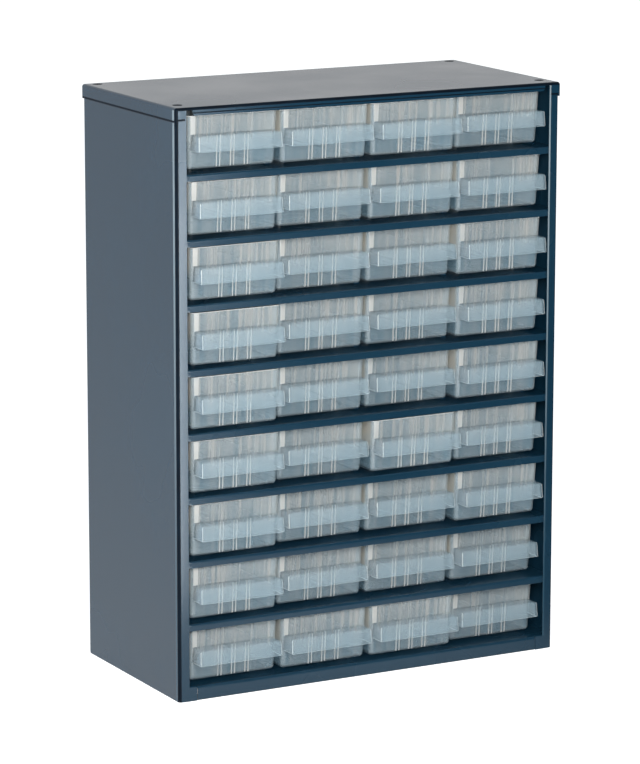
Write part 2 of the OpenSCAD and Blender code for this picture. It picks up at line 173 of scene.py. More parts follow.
class DrawerSizes(bpy.types.PropertyGroup):
    """Sizes of one moulded drawer."""

    width: length("Width", "Width over the rim", 0.069)
    depth: length("Depth", "Length at the rim", 0.135)
    height: length("Height", "Height of the tub", 0.0372)
    wall: length("Wall", "Thickness of the walls and floor", 0.0013)
    side_lean: length("Side lean", "How much a side wall leans in from rim to floor", 0.0011)
    end_lean: length("End lean", "How much the front and rear walls lean in", 0.0025)
    corner: length("Corner", "Radius of the upright corners", 0.003)
    floor_round: length("Floor round", "Radius between the walls and the floor", 0.0025)
    rim_round: length("Rim round", "Radius of the rim's edges", 0.0003)
    hood_top: length("Hood top", "Height of the hood's top over the floor", 0.0244)
    hood_height: length("Hood height", "Height of the hood's front panel", 0.011)
    hood_reach: length("Hood reach", "Reach of the hood's top in front of the rim", 0.011)
    hood_flare: length("Hood flare", "Extra reach of its lower edge", 0.001)
    hood_width: length("Hood width", "Width of the hood at its top", 0.0632)
    hood_spread: length("Hood spread", "How much wider each side is at the lower edge", 0.0004)
    hood_wall: length("Hood wall", "Thickness of the hood's plates", 0.0012)
    hood_root: share("Hood root", "How deep its root reaches into the front wall", 0.9)
    hood_round: length("Hood round", "Radius of the hood's outer edges", 0.0009)
    hood_corner: length("Hood corner", "Radius between the hood's top and its ends", 0.0018)
    # The hood's left end turned this far gets the pale corner finish as a painted highlight.
    highlight_turn: share("Pale turn", "How far a face of the hood's left end is turned where it is pale", 0.9)
    # Up to this height the plastic has its full painted shade, which fades out at the hood's top.
    full_shade_height: length("Low zone", "Height over the floor up to which the plastic has its low colours", 0.0101)
    # Width of a painted highlight beside each front corner above the hood: white on the left, pale on the
    # right.
    corner_highlight: length("Corner band", "Width of the thick band beside each front corner", 0.0028)
    rib_pitch: length("Rib pitch", "Distance between the pairs of ribs", 0.0107)
    rib_gap: length("Rib gap", "Distance between the ribs of a pair", 0.0025)
    rib_width: length("Rib width", "Width of a rib", 0.0007)
    rib_out: length("Rib height", "How far a rib stands out of the wall", 0.0005)
    runner_height: length("Runner height", "Height of the runners under the floor", 0.0021)
    runner_width: length("Runner width", "Width of a runner", 0.0018)
    runner_span: length("Runner span", "Distance between the runners", 0.046)
    runner_inset: length("Runner inset", "Distance of the runners from the front", 0.020)
    slot_gap: length("Slot gap", "Width of a divider slot", 0.0014)
    slot_rib: length("Slot rib", "How far the ribs of a slot stand out", 0.0009)
    slot_drop: length("Slot drop", "How far below the rim they end", 0.0025)
    stop_length: length("Stop length", "Length of a stop tab", 0.005)
    stop_inset: length("Stop inset", "Distance of a stop tab from the rear end", 0.017)
    stop_height: length("Stop height", "Height of a stop tab over the rim", 0.0035)
    stop_root: length("Stop root", "How far its root reaches down into the wall", 0.002)


class Finishes(bpy.types.PropertyGroup):
    """Colours and finishes."""

    paint: colour("Paint", "Colour of the powder coat", (0.006, 0.036, 0.070))
    paint_worn: colour("Worn paint", "Colour of the coat where it is rubbed", (0.015, 0.056, 0.098))
    # Nearly black paint that stands in for shade and dark reflections along folds and edges, and in holes.
    shade_colour: colour("Dark paint", "Colour of the coat along a dark fold", (0.001, 0.005, 0.012))
    # Colours of the painted highlight on bends, at the top and near the floor.
    highlight_high: colour("Light paint", "Colour of the coat where a bend catches light", (0.30, 0.38, 0.43))
    highlight_low: colour("Low light paint", "The same near the floor", (0.02, 0.07, 0.115))
    paint_rough: share("Paint roughness", "Roughness of the powder coat", 0.25)
    paint_gloss: share("Paint gloss", "Specular level of the powder coat", 0.44)
    # Roughness and gloss of that painted shade.
    shade_rough: share("Fold roughness", "Roughness of the coat along a dark fold", 0.5)
    shade_gloss: share("Fold gloss", "Specular level of the coat along a dark fold", 0.1)
    plastic: colour("Plastic", "Colour of the frosted plastic", (0.52, 0.73, 0.87))
    plastic_pale: colour("Pale plastic", "Colour of its pale streaks", (0.95, 0.95, 0.93))
    # Paler and warmer than the fronts: painted light, for light that the frosted plastic carries into the
    # shaded side walls.
    plastic_side: colour("Plastic side", "Colour of the side walls", (0.90, 0.87, 0.79))
    plastic_hood: colour("Hood", "Colour of the hoods' smooth plastic", (0.51, 0.67, 0.77))
    # Darker, bluer colours near the floor: painted shade under the hood.
    plastic_shaded: colour("Low plastic", "Colour of the frosted plastic near the floor", (0.33, 0.58, 0.76))
    side_shaded: colour("Low side wall", "Colour of the side walls near the floor", (0.36, 0.60, 0.76))
    # Paler than the fronts: partly the longer path through the plastic at a slant, partly a painted
    # highlight.
    plastic_corner: colour("Corner", "Colour of the rounded corners", (0.72, 0.86, 0.95))
    # Edges and the rim look white partly as thick plastic seen end-on, partly as a painted highlight.
    plastic_edge: colour("Plastic edge", "Colour that its edges and ribs gather", (0.97, 0.97, 0.95))
    plastic_cover: share("Plastic cover", "How much one face of the plastic hides", 0.235)
    # A side wall hides more than a front: partly the slanting view through it, partly painted light.
    side_cover: share("Side cover", "How much one face of a side wall hides", 0.42)
    # A clearer side wall near the floor, part of that painted shade.
    shaded_side_cover: share("Low side cover", "The same near the floor", 0.26)
    # The band at the left corner is a painted highlight; the ribs look white for their thickness.
    band_cover: share("Band cover", "How much the thick band at the left corner and a rib hide", 0.52)
    floor_cover: share("Floor cover", "How much one face of a drawer's floor hides", 0.08)
    hood_cover: share("Hood cover", "How much one face of a hood hides", 0.20)
    corner_cover: share("Corner cover", "How much a rounded corner hides", 0.28)
    edge_cover: share("Edge cover", "How much an edge or rib hides", 0.92)
    plastic_rough: share("Plastic roughness", "Roughness of the plastic", 0.30)
    aluminium: colour("Aluminium", "Colour of the rivets", (0.62, 0.63, 0.65))
    aluminium_dull: colour("Dull aluminium", "Colour of their dull patches", (0.4, 0.41, 0.43))
    aluminium_rough: share("Aluminium roughness", "Roughness of the rivets", 0.42)


class StageSettings(bpy.types.PropertyGroup):
    """The view and the lights."""

    azimuth: turn("Azimuth", "Camera's place round the cabinet", -28.48)
    elevation: turn("Elevation", "Camera's height over the horizon", 11.73)
    roll: turn("Roll", "Camera's roll", 0.08)
    distance: length("Distance", "Camera's distance", 2.7983)
    look_up: length("Look up", "How far over the origin the camera looks", 0.1959)
    look_left: length("Look left", "How far left of the origin it looks", 0.0009)
    look_back: length("Look back", "How far behind the origin it looks", 0.0053)
    lens: FloatProperty(name="Lens", description="Focal length", default=180.2, unit="CAMERA")
    floor: colour("Floor", "Colour of the floor", (0.86, 0.86, 0.86))
    floor_size: length("Floor size", "Length of the floor's sides", 60)
    world: amount("World", "Strength of the light from all round", 0.36)
    sky: colour("Sky", "Colour of the light from all round", (0.86, 0.95, 1.0))
    dim: amount("Dim side", "Strength of what a gloss mirrors in front", 0.02)
    behind: amount("Behind", "Strength of what a gloss mirrors behind", 0.86)
    glow: amount("Glow", "How much the floor adds to the light on it", 0.85)
    sheen: amount("Sheen", "The same as a gloss mirrors it", 0.52)
    key: power("Key", "Power of the large lamp at the front", 12.5)
    key_spot: spot("Key place", "Where the large lamp stands", (-0.48, -1.08, 0.64))
    key_size: length("Key size", "Length of the large lamp's sides", 0.5)
    key_tint: colour("Key tint", "Colour of the large lamp's light", (1, 0.96, 0.90))
    side: power("Side", "Power of the lamp at the left", 4.8)
    side_spot: spot("Side place", "Where the lamp at the left stands", (-1.5, 0.05, 0.35))
    side_width: length("Side width", "Width of the lamp at the left", 0.2)
    side_height: length("Side height", "Height of the lamp at the left", 0.8)
    side_tint: colour("Side tint", "Colour of the light from the left", (0.66, 0.83, 1))
    strip: power("Strip", "Power of the narrow lamp in front, which only a gloss shows", 1.5)
    strip_spot: spot("Strip place", "Where the narrow lamp stands", (-0.07, -0.345, 0.226))
    strip_width: length("Strip width", "Width of the narrow lamp", 0.05)
    strip_height: length("Strip height", "Height of the narrow lamp", 0.54)
    strip_tint: colour("Strip tint", "Colour of the narrow lamp's light", (0.90, 0.96, 1))
    strip_lean: turn("Strip lean", "How much the narrow lamp leans", -5.0)
    lamp_aim: length("Lamp aim", "Height over the origin of the place that the lamps face", 0.2)


# -------------------------------------------------------------------------------- modelling tools

def deselect():
    """Leaves edit mode and selects nothing."""
    if bpy.context.mode != "OBJECT":
        bpy.ops.object.mode_set(mode="OBJECT")
    bpy.ops.object.select_all(action="DESELECT")


def take(piece):
    """Makes a piece the only one selected."""
    deselect()
    piece.select_set(True)
    bpy.context.view_layer.objects.active = piece


def bake_place():
    """Moves the selected piece's place, turn and size into its mesh."""
    bpy.ops.object.transform_apply(location=True, rotation=True, scale=True)


def add_box(name, corner, opposite):
    """Adds a cube that fills the box between two opposite corners."""
    deselect()
    corner, opposite = Vector(corner), Vector(opposite)
    bpy.ops.mesh.primitive_cube_add(size=1, location=(corner + opposite) / 2)
    piece = bpy.context.object
    piece.name = piece.data.name = name
    piece.scale = [abs(reach) for reach in opposite - corner]
    bake_place()
    return piece


def add_cylinder(name, place, diameter, height, axis="Z", sides=40):
    """Adds a cylinder round an axis, centred on a place."""
    deselect()
    turned = (math.pi / 2, 0, 0) if axis == "Y" else (0, 0, 0)
    bpy.ops.mesh.primitive_cylinder_add(vertices=sides, radius=diameter / 2, depth=height,
                                        location=place, rotation=turned)
    piece = bpy.context.object
    piece.name = piece.data.name = name
    bake_place()
    return piece


@contextlib.contextmanager
def editing(piece):
    """Edit mode on one piece, with nothing selected."""
    take(piece)
    bpy.ops.object.mode_set(mode="EDIT")
    bpy.ops.mesh.select_all(action="DESELECT")
    yield
    bpy.ops.object.mode_set(mode="OBJECT")


def middle(item):
    """Middle of a vertex, edge or face."""
    if isinstance(item, bmesh.types.BMVert):
        return item.co
    if isinstance(item, bmesh.types.BMEdge):
        return (item.verts[0].co + item.verts[1].co) / 2
    return item.calc_center_median()


def pick(piece, kind, test):
    """Selects only the vertices, edges or faces that pass a test of their middle and themselves."""
    bpy.ops.mesh.select_mode(type=kind)
    bpy.ops.mesh.select_all(action="DESELECT")
    mesh = bmesh.from_edit_mesh(piece.data)
    mesh.normal_update()
    items = {"VERT": mesh.verts, "EDGE": mesh.edges, "FACE": mesh.faces}[kind]
    for item in items:
        if test(middle(item), item):
            item.select_set(True)
    mesh.select_flush_mode()
    bmesh.update_edit_mesh(piece.data)


def direction(edge):
    """Unit vector along an edge."""
    return (edge.verts[1].co - edge.verts[0].co).normalized()


def runs(edge, axis):
    """Whether an edge lies along an axis."""
    return abs(direction(edge)[axis]) > STRAIGHT


def near(a, b):
    """Whether two places are the same."""
    return abs(a - b) < TINY


def lies_at(edge, axis, place):
    """Whether both ends of an edge are at a place along an axis."""
    return all(near(vert.co[axis], place) for vert in edge.verts)


def is_corner(edge):
    """Whether two faces meet at an edge in a sharp outward corner."""
    return edge.is_convex and edge.calc_face_angle() > SHARP


def delete(kind):
    """Deletes what is selected."""
    bpy.ops.mesh.delete(type=kind)


def move(x=0, y=0, z=0):
    """Moves the selected vertices."""
    bpy.ops.transform.translate(value=(x, y, z))


def cut_at(piece, axis, place, test=lambda at, face: True):
    """Cuts the faces that pass a test at a place along an axis."""
    pick(piece, "FACE", test)
    across = Vector((axis == X, axis == Y, axis == Z))
    bpy.ops.mesh.bisect(plane_co=place * across, plane_no=across)


def give_finish(piece, finish, test):
    """Gives the faces that pass a test a finish, by its place in the piece's list."""
    pick(piece, "FACE", test)
    piece.active_material_index = finish
    bpy.ops.object.material_slot_assign()


def give_all(piece, finish):
    """Gives every face of a plain piece a finish, by its place in the list that it will get."""
    piece.data.polygons.foreach_set("material_index", [finish] * len(piece.data.polygons))


def round_edges(radius, steps, finish=-1):
    """Rounds the selected edges; without a finish the new faces take that of their neighbours."""
    bpy.ops.mesh.bevel(offset=radius, segments=steps, affect="EDGES", material=finish, clamp_overlap=True)


def apply_modifier(piece, kind, **settings):
    """Adds a modifier and applies it."""
    take(piece)
    modifier = piece.modifiers.new(kind.title(), kind)
    for name, value in settings.items():
        setattr(modifier, name, value)
    bpy.ops.object.modifier_apply(modifier=modifier.name)


def combine(piece, other, operation):
    """Adds another solid to a piece, or cuts it out, and removes it."""
    apply_modifier(piece, "BOOLEAN", operation=operation, solver="EXACT", object=other)
    bpy.data.objects.remove(other)


def smooth(piece, angle=32):
    """Shades a piece smooth across its small bends and flat on its large faces."""
    take(piece)
    bpy.ops.object.shade_smooth_by_angle(angle=math.radians(angle))
    apply_modifier(piece, "WEIGHTED_NORMAL", keep_sharp=True, weight=80)


def copy_of(piece, name, offset):
    """A copy with a mesh of its own, moved by an offset."""
    take(piece)
    bpy.ops.object.duplicate()
    other = bpy.context.object
    other.name = other.data.name = name
    other.location = offset
    bake_place()
    return other


def thicken(piece, wall):
    """Gives an open surface a wall on its inner side."""
    apply_modifier(piece, "SOLIDIFY", thickness=wall, offset=-1, use_even_offset=True)


def dress(piece, finishes):
    """Replaces a piece's materials by named finishes and keeps which face has which."""
    indices = [face.material_index for face in piece.data.polygons]
    piece.data.materials.clear()
    for name in finishes:
        piece.data.materials.append(finish_named(name))
    piece.data.polygons.foreach_set("material_index", indices)


def finish_sheet(piece, finishes):
    """Rounds the cut edges of a steel sheet, dresses it and shades it."""
    size = bpy.context.scene.cabinet_sheet
    apply_modifier(piece, "BEVEL", width=size.edge, segments=2, limit_method="ANGLE",
                   angle_limit=size.edge_angle)
    dress(piece, finishes)
    smooth(piece)


def stands_for(piece, body, node):
    """Makes a piece ride on a body in the place of a CAD node."""
    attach(piece, body)
    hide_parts(node)


# -------------------------------------------------------------------------------------- materials

def new_group(name, inputs, outputs):
    """A shader node group with named number inputs and outputs, and its in and out nodes."""
    group = bpy.data.node_groups.new(name, "ShaderNodeTree")
    for label, default in inputs.items():
        socket = group.interface.new_socket(label, in_out="INPUT", socket_type="NodeSocketFloat")
        socket.default_value = default
    for label in outputs:
        group.interface.new_socket(label, in_out="OUTPUT", socket_type="NodeSocketFloat")
    return group, group.nodes.new("NodeGroupInput"), group.nodes.new("NodeGroupOutput")


def connect(tree, value, socket):
    """Feeds a socket with another one's output, a number or a colour."""
    if isinstance(value, bpy.types.NodeSocket):
        tree.links.new(value, socket)
    elif socket.type == "RGBA":
        socket.default_value = (*value, 1)
    else:
        socket.default_value = value


def feed(tree, node, **values):
    """Feeds the inputs of a node, given by their names."""
    for name, value in values.items():
        connect(tree, value, node.inputs[name.replace("_", " ")])


def add_node(tree, kind, **settings):
    """Adds a node; a setting is one of its own values, or feeds the input of that name."""
    node = tree.nodes.new(kind)
    for name, value in settings.items():
        if hasattr(node, name):
            setattr(node, name, value)
        else:
            feed(tree, node, **{name: value})
    return node


def ramp(tree, source, stops):
    """Maps a value smoothly onto two stops of (place, level)."""
    (low, low_to), (high, high_to) = stops
    node = add_node(tree, "ShaderNodeMapRange", interpolation_type="SMOOTHSTEP", Value=source,
                    From_Min=low, From_Max=high, To_Min=low_to, To_Max=high_to)
    return node.outputs["Result"]


def calculate(tree, operation, first, second):
    """Adds, multiplies or otherwise joins two values."""
    node = add_node(tree, "ShaderNodeMath", operation=operation)
    connect(tree, first, node.inputs[0])
    connect(tree, second, node.inputs[1])
    return node.outputs["Value"]


def mix(tree, factor, first, second, kind="RGBA"):
    """Mixes two colours, or two numbers where the kind is FLOAT, by a mask."""
    node = add_node(tree, "ShaderNodeMix", data_type=kind, Factor=factor, A=first, B=second)
    return node.outputs["Result"]


def object_place(tree, scale=(1, 1, 1)):
    """Object coordinates, stretched along the axes."""
    place = tree.nodes.new("ShaderNodeTexCoord").outputs["Object"]
    return add_node(tree, "ShaderNodeMapping", Vector=place, Scale=scale).outputs["Vector"]


def along(tree, axis, place):
    """The part of a place along X, Y or Z."""
    return add_node(tree, "ShaderNodeSeparateXYZ", Vector=place).outputs[axis]


def grain_group():
    """Fine grain of a moulded or powder-coated skin, with a slow change of shade over it."""
    group, inside, outside = new_group("skin_grain", {"Grain Scale": 1500, "Cloud Scale": 9},
                                       ["Height", "Shade"])
    place = object_place(group)
    for label, scale, detail, rough in (("Height", "Grain Scale", 2.0, 0.6),
                                        ("Shade", "Cloud Scale", 3.0, 0.55)):
        noise = add_node(group, "ShaderNodeTexNoise", Vector=place, Scale=inside.outputs[scale],
                         Detail=detail, Roughness=rough)
        group.links.new(noise.outputs["Fac"], outside.inputs[label])
    return group


def flow_group():
    """Upright flow lines in moulded plastic: broad bands with fine lines on them."""
    group, inside, outside = new_group("flow_lines", {"Band Scale": 210, "Line Scale": 900},
                                       ["Bands", "Lines"])
    place = object_place(group, (1, 0.02, 0.012))
    for label, scale, detail in (("Bands", "Band Scale", 1.0), ("Lines", "Line Scale", 2.0)):
        noise = add_node(group, "ShaderNodeTexNoise", Vector=place, Scale=inside.outputs[scale],
                         Detail=detail, Roughness=0.5)
        group.links.new(noise.outputs["Fac"], outside.inputs[label])
    return group


def group_node(tree, group, **values):
    """Places a node group and sets its inputs."""
    return add_node(tree, "ShaderNodeGroup", node_tree=group, **values)


def clouds(tree, grain, start, most):
    """A mask of slow clouds: they start at a shade of the skin and reach at most a value."""
    skin = group_node(tree, grain, Cloud_Scale=60)
    return ramp(tree, skin.outputs["Shade"], ((start, 0.0), (0.7, most)))


def bump(tree, height, strength, distance=0.0002):
    """A normal for a surface with a fine relief."""
    return add_node(tree, "ShaderNodeBump", Strength=strength, Distance=distance,
                    Height=height).outputs["Normal"]


def new_material(name):
    """A material with one Principled shader; gives its tree and that shader."""
    material = bpy.data.materials.new(name)
    material.use_nodes = True
    return material.node_tree, material.node_tree.nodes["Principled BSDF"]


def powder_coat(grain):
    """Dark blue powder coat on steel, with a fine orange-peel skin."""
    finish = bpy.context.scene.cabinet_finish
    tree, shader = new_material("blue_powder_coat")
    skin = group_node(tree, grain, Grain_Scale=1400, Cloud_Scale=7)
    worn = ramp(tree, skin.outputs["Shade"], ((0.35, 0.0), (0.7, 0.35)))
    rough = ramp(tree, skin.outputs["Shade"], ((0.3, finish.paint_rough - 0.03),
                                               (0.7, finish.paint_rough + 0.04)))
    feed(tree, shader, Base_Color=mix(tree, worn, finish.paint, finish.paint_worn), Roughness=rough,
         Specular_IOR_Level=finish.paint_gloss, Normal=bump(tree, skin.outputs["Height"], strength=0.12))


def shading_coat(grain):
    """The same coat painted nearly black: painted shade and dark reflections along folds and edges, and in
    holes.
    """
    finish = bpy.context.scene.cabinet_finish
    tree, shader = new_material("dark_fold_coat")
    shade = clouds(tree, grain, start=0.35, most=0.12)
    feed(tree, shader, Base_Color=mix(tree, shade, finish.shade_colour, finish.paint),
         Roughness=finish.shade_rough, Specular_IOR_Level=finish.shade_gloss)


def lighting_coat(grain):
    """The same coat lightened into a painted highlight where a fold would catch the light, brighter towards
    the top.
    """
    finish = bpy.context.scene.cabinet_finish
    tree, shader = new_material("light_fold_coat")
    dim_z, bright_z = 0.03, 0.40
    height = ramp(tree, along(tree, "Z", object_place(tree)), ((dim_z, 0.0), (bright_z, 1.0)))
    base = mix(tree, height, finish.highlight_low, finish.highlight_high)
    shade = clouds(tree, grain, start=0.35, most=0.12)
    feed(tree, shader, Base_Color=mix(tree, shade, base, finish.paint_worn),
         Roughness=finish.paint_rough)


def under_hood_shade(tree):
    """Mask of the painted shade under the hood: 0 near the floor and 1 at the hood's top, alike in every row.
    """
    size = bpy.context.scene.cabinet_drawer
    rows = sorted({round(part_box(node)[0].z, 4) for node in DRAWERS})
    over_floor = calculate(tree, "SUBTRACT", along(tree, "Z", object_place(tree)),
                           rows[0] + size.runner_height)
    in_row = calculate(tree, "MODULO", over_floor, rows[1] - rows[0])
    return ramp(tree, in_row, ((size.full_shade_height, 0.0), (size.hood_top, 1.0)))


def frosted_plastic(grain, flow):
    """Milky clear plastic with fine upright flow lines; darker and bluer, with fainter lines, towards the
    floor as painted shade under the hood.
    """
    finish = bpy.context.scene.cabinet_finish
    tree, shader = new_material("frosted_plastic")
    lines = group_node(tree, flow, Band_Scale=330, Line_Scale=1000)
    skin = group_node(tree, grain, Grain_Scale=1100, Cloud_Scale=30)
    # The painted shade under the hood darkens and blues the plastic and thins its lines near the floor.
    height = under_hood_shade(tree)
    bands = ramp(tree, lines.outputs["Bands"], ((0.34, 0.14), (0.66, 0.40)))
    fine = ramp(tree, lines.outputs["Lines"], ((0.40, 0.0), (0.62, 0.50)))
    streaks = calculate(tree, "MULTIPLY", calculate(tree, "ADD", bands, fine),
                        ramp(tree, height, ((0, 0.55), (1, 1))))
    base = mix(tree, height, finish.plastic_shaded, finish.plastic)
    cover = ramp(tree, streaks, ((0.0, finish.plastic_cover - 0.03), (1.0, finish.plastic_cover + 0.05)))
    feed(tree, shader, Base_Color=mix(tree, streaks, base, finish.plastic_pale), Alpha=cover,
         Roughness=finish.plastic_rough, Normal=bump(tree, skin.outputs["Height"], strength=0.05))


def side_plastic(grain):
    """The side walls: paler and warmer than the fronts as painted light, and darker, bluer and clearer near
    the floor as painted shade under the hood.
    """
    finish = bpy.context.scene.cabinet_finish
    tree, shader = new_material("side_wall_plastic")
    # Painted shade under the hood: darker, bluer and clearer near the floor.
    height = under_hood_shade(tree)
    base = mix(tree, height, finish.side_shaded, finish.plastic_side)
    shade = clouds(tree, grain, start=0.3, most=0.3)
    feed(tree, shader, Base_Color=mix(tree, shade, base, finish.plastic),
         Alpha=ramp(tree, height, ((0, finish.shaded_side_cover), (1, finish.side_cover))),
         Roughness=finish.plastic_rough)


def smooth_plastic(name, grain, tint, cover, most):
    """The same plastic without flow lines, with a tint of its own and faint clouds."""
    finish = bpy.context.scene.cabinet_finish
    tree, shader = new_material(name)
    shade = clouds(tree, grain, start=0.3, most=most)
    feed(tree, shader, Base_Color=mix(tree, shade, tint, finish.plastic),
         Alpha=cover, Roughness=finish.plastic_rough)


def rivet_metal(grain):
    """Dull aluminium."""
    finish = bpy.context.scene.cabinet_finish
    tree, shader = new_material("rivet_aluminium")
    skin = group_node(tree, grain, Grain_Scale=900, Cloud_Scale=120)
    shade = ramp(tree, skin.outputs["Shade"], ((0.3, 0.0), (0.7, 0.4)))
    feed(tree, shader, Base_Color=mix(tree, shade, finish.aluminium, finish.aluminium_dull), Metallic=1,
         Roughness=finish.aluminium_rough, Normal=bump(tree, skin.outputs["Height"], strength=0.1))


def finish_named(name):
    """A finish by its name; the cabinet's are all made when the first of them is wanted."""
    if name not in bpy.data.materials:
        finish = bpy.context.scene.cabinet_finish
        grain, flow = grain_group(), flow_group()
        powder_coat(grain)
        shading_coat(grain)
        lighting_coat(grain)
        frosted_plastic(grain, flow)
        side_plastic(grain)
        smooth_plastic("bright_plastic_edge", grain, finish.plastic_edge, finish.edge_cover, 0.3)
        smooth_plastic("pale_plastic_corner", grain, finish.plastic_corner, finish.corner_cover, 0.3)
        smooth_plastic("smooth_hood_plastic", grain, finish.plastic_hood, finish.hood_cover, 0.3)
        smooth_plastic("clear_floor_plastic", grain, finish.plastic_hood, finish.floor_cover, 0.3)
        smooth_plastic("white_plastic_band", grain, finish.plastic_edge, finish.band_cover, 0.2)
        rivet_metal(grain)
    return bpy.data.materials[name]


# ------------------------------------------------------------------------------------ steel sheets

class AddTopCap(bpy.types.Operator):
    """Adds the top cap, with its lip, corner tabs and holes"""

    bl_idname = "cabinet.add_top_cap"
    bl_label = "Top cap"

    def execute(self, context):
        size = context.scene.cabinet_sheet
        low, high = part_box("top_cap")
        cap = add_box("cap", low, high)
        dress(cap, COATS)
        with editing(cap):
            pick(cap, "FACE", lambda at, face: near(at.z, low.z))
            delete("FACE")
            pick(cap, "EDGE", lambda at, edge: near(at.z, high.z) or runs(edge, Z))
            round_edges(size.fold, steps=6)
            self.mark_folds(cap, size, low)
            self.shape_lip(cap, size, low, high)
        thicken(cap, size.sheet)
        for x in (low.x + size.cap_hole_side, high.x - size.cap_hole_side):
            for y in (low.y + size.cap_hole_front, high.y - size.cap_hole_rear):
                hole = add_cylinder("hole", (x, y, high.z), size.cap_hole, 4 * size.sheet)
                # The walls of the holes get painted shade.
                give_all(hole, SHADE_FINISH)
                dress(hole, COATS)
                combine(cap, hole, "DIFFERENCE")
        finish_sheet(cap, COATS)
        cap.name = "cap_sheet"
        stands_for(cap, "cabinet", "top_cap")
        return {"FINISHED"}

    def mark_folds(self, cap, size, low):
        """Paints shade and a dark reflection on the front fold and the left front bend, paints shade on the
        skirts' lower edges, and paints a highlight in a line by the bend.
        """
        shade_z = low.z + size.shade_line
        bend_x = low.x + size.fold
        bend_y = low.y + size.fold
        line_y = bend_y + size.highlight_line
        give_finish(cap, SHADE_FINISH, lambda at, face: at.y < bend_y and face.normal.y < -size.shade_turn
                    and face.normal.z > TURNED)
        cut_at(cap, Z, shade_z, lambda at, face: abs(face.normal.x) > STRAIGHT)
        give_finish(cap, SHADE_FINISH, lambda at, face: abs(face.normal.x) > STRAIGHT and at.z < shade_z)
        cut_at(cap, Y, line_y, lambda at, face: face.normal.x < -STRAIGHT)
        give_finish(cap, HIGHLIGHT_FINISH, lambda at, face: face.normal.x < -STRAIGHT and at.y < line_y
                    and at.z > shade_z)
        give_finish(cap, SHADE_FINISH, lambda at, face: at.x < bend_x and at.y < bend_y
                    and face.normal.x < -TURNED and face.normal.y < -TURNED)

    def shape_lip(self, cap, size, low, high):
        """Cuts the front skirt to a lip and two corner tabs, and presses the crease into the lip."""
        fold_z = high.z - size.fold
        lip_z = high.z - size.cap_lip
        tab_z = high.z - size.cap_tab
        shade_z = tab_z + size.shade_line
        tab_x = high.x - size.cap_tab_width
        lip_x = size.cap_lip_end
        crease_z = (lip_z + fold_z) / 2
        half_crease = size.crease_height / 2

        def on_skirt(at, face):
            return near(at.y, low.y) and at.z < fold_z

        for x in (-tab_x, -lip_x, lip_x, tab_x):
            cut_at(cap, X, x, on_skirt)
        for z in (lip_z, tab_z, shade_z, crease_z, crease_z - half_crease, crease_z + half_crease):
            cut_at(cap, Z, z, on_skirt)
        pick(cap, "FACE", lambda at, face: on_skirt(at, face) and (
            (abs(at.x) < lip_x and at.z < lip_z) or lip_x < abs(at.x) < tab_x
            or (abs(at.x) > tab_x and at.z < tab_z)))
        delete("FACE")
        for end in (-1, 1):
            for z, slant in ((lip_z, size.cap_lip_slant), (crease_z, size.cap_lip_slant / 2)):
                pick(cap, "VERT", lambda at, vert: near(at.y, low.y) and near(at.z, z)
                     and near(at.x, end * lip_x))
                move(x=-end * slant)
        pick(cap, "VERT", lambda at, vert: near(at.y, low.y) and near(at.z, crease_z)
             and abs(at.x) < lip_x + TINY)
        move(y=size.crease)
        # The crease and the corner tabs' lower edges get painted shade.
        give_finish(cap, SHADE_FINISH, lambda at, face: at.y < low.y + size.crease and abs(at.x) < lip_x
                    and abs(at.z - crease_z) < half_crease
                    or on_skirt(at, face) and abs(at.x) > tab_x and at.z < shade_z)


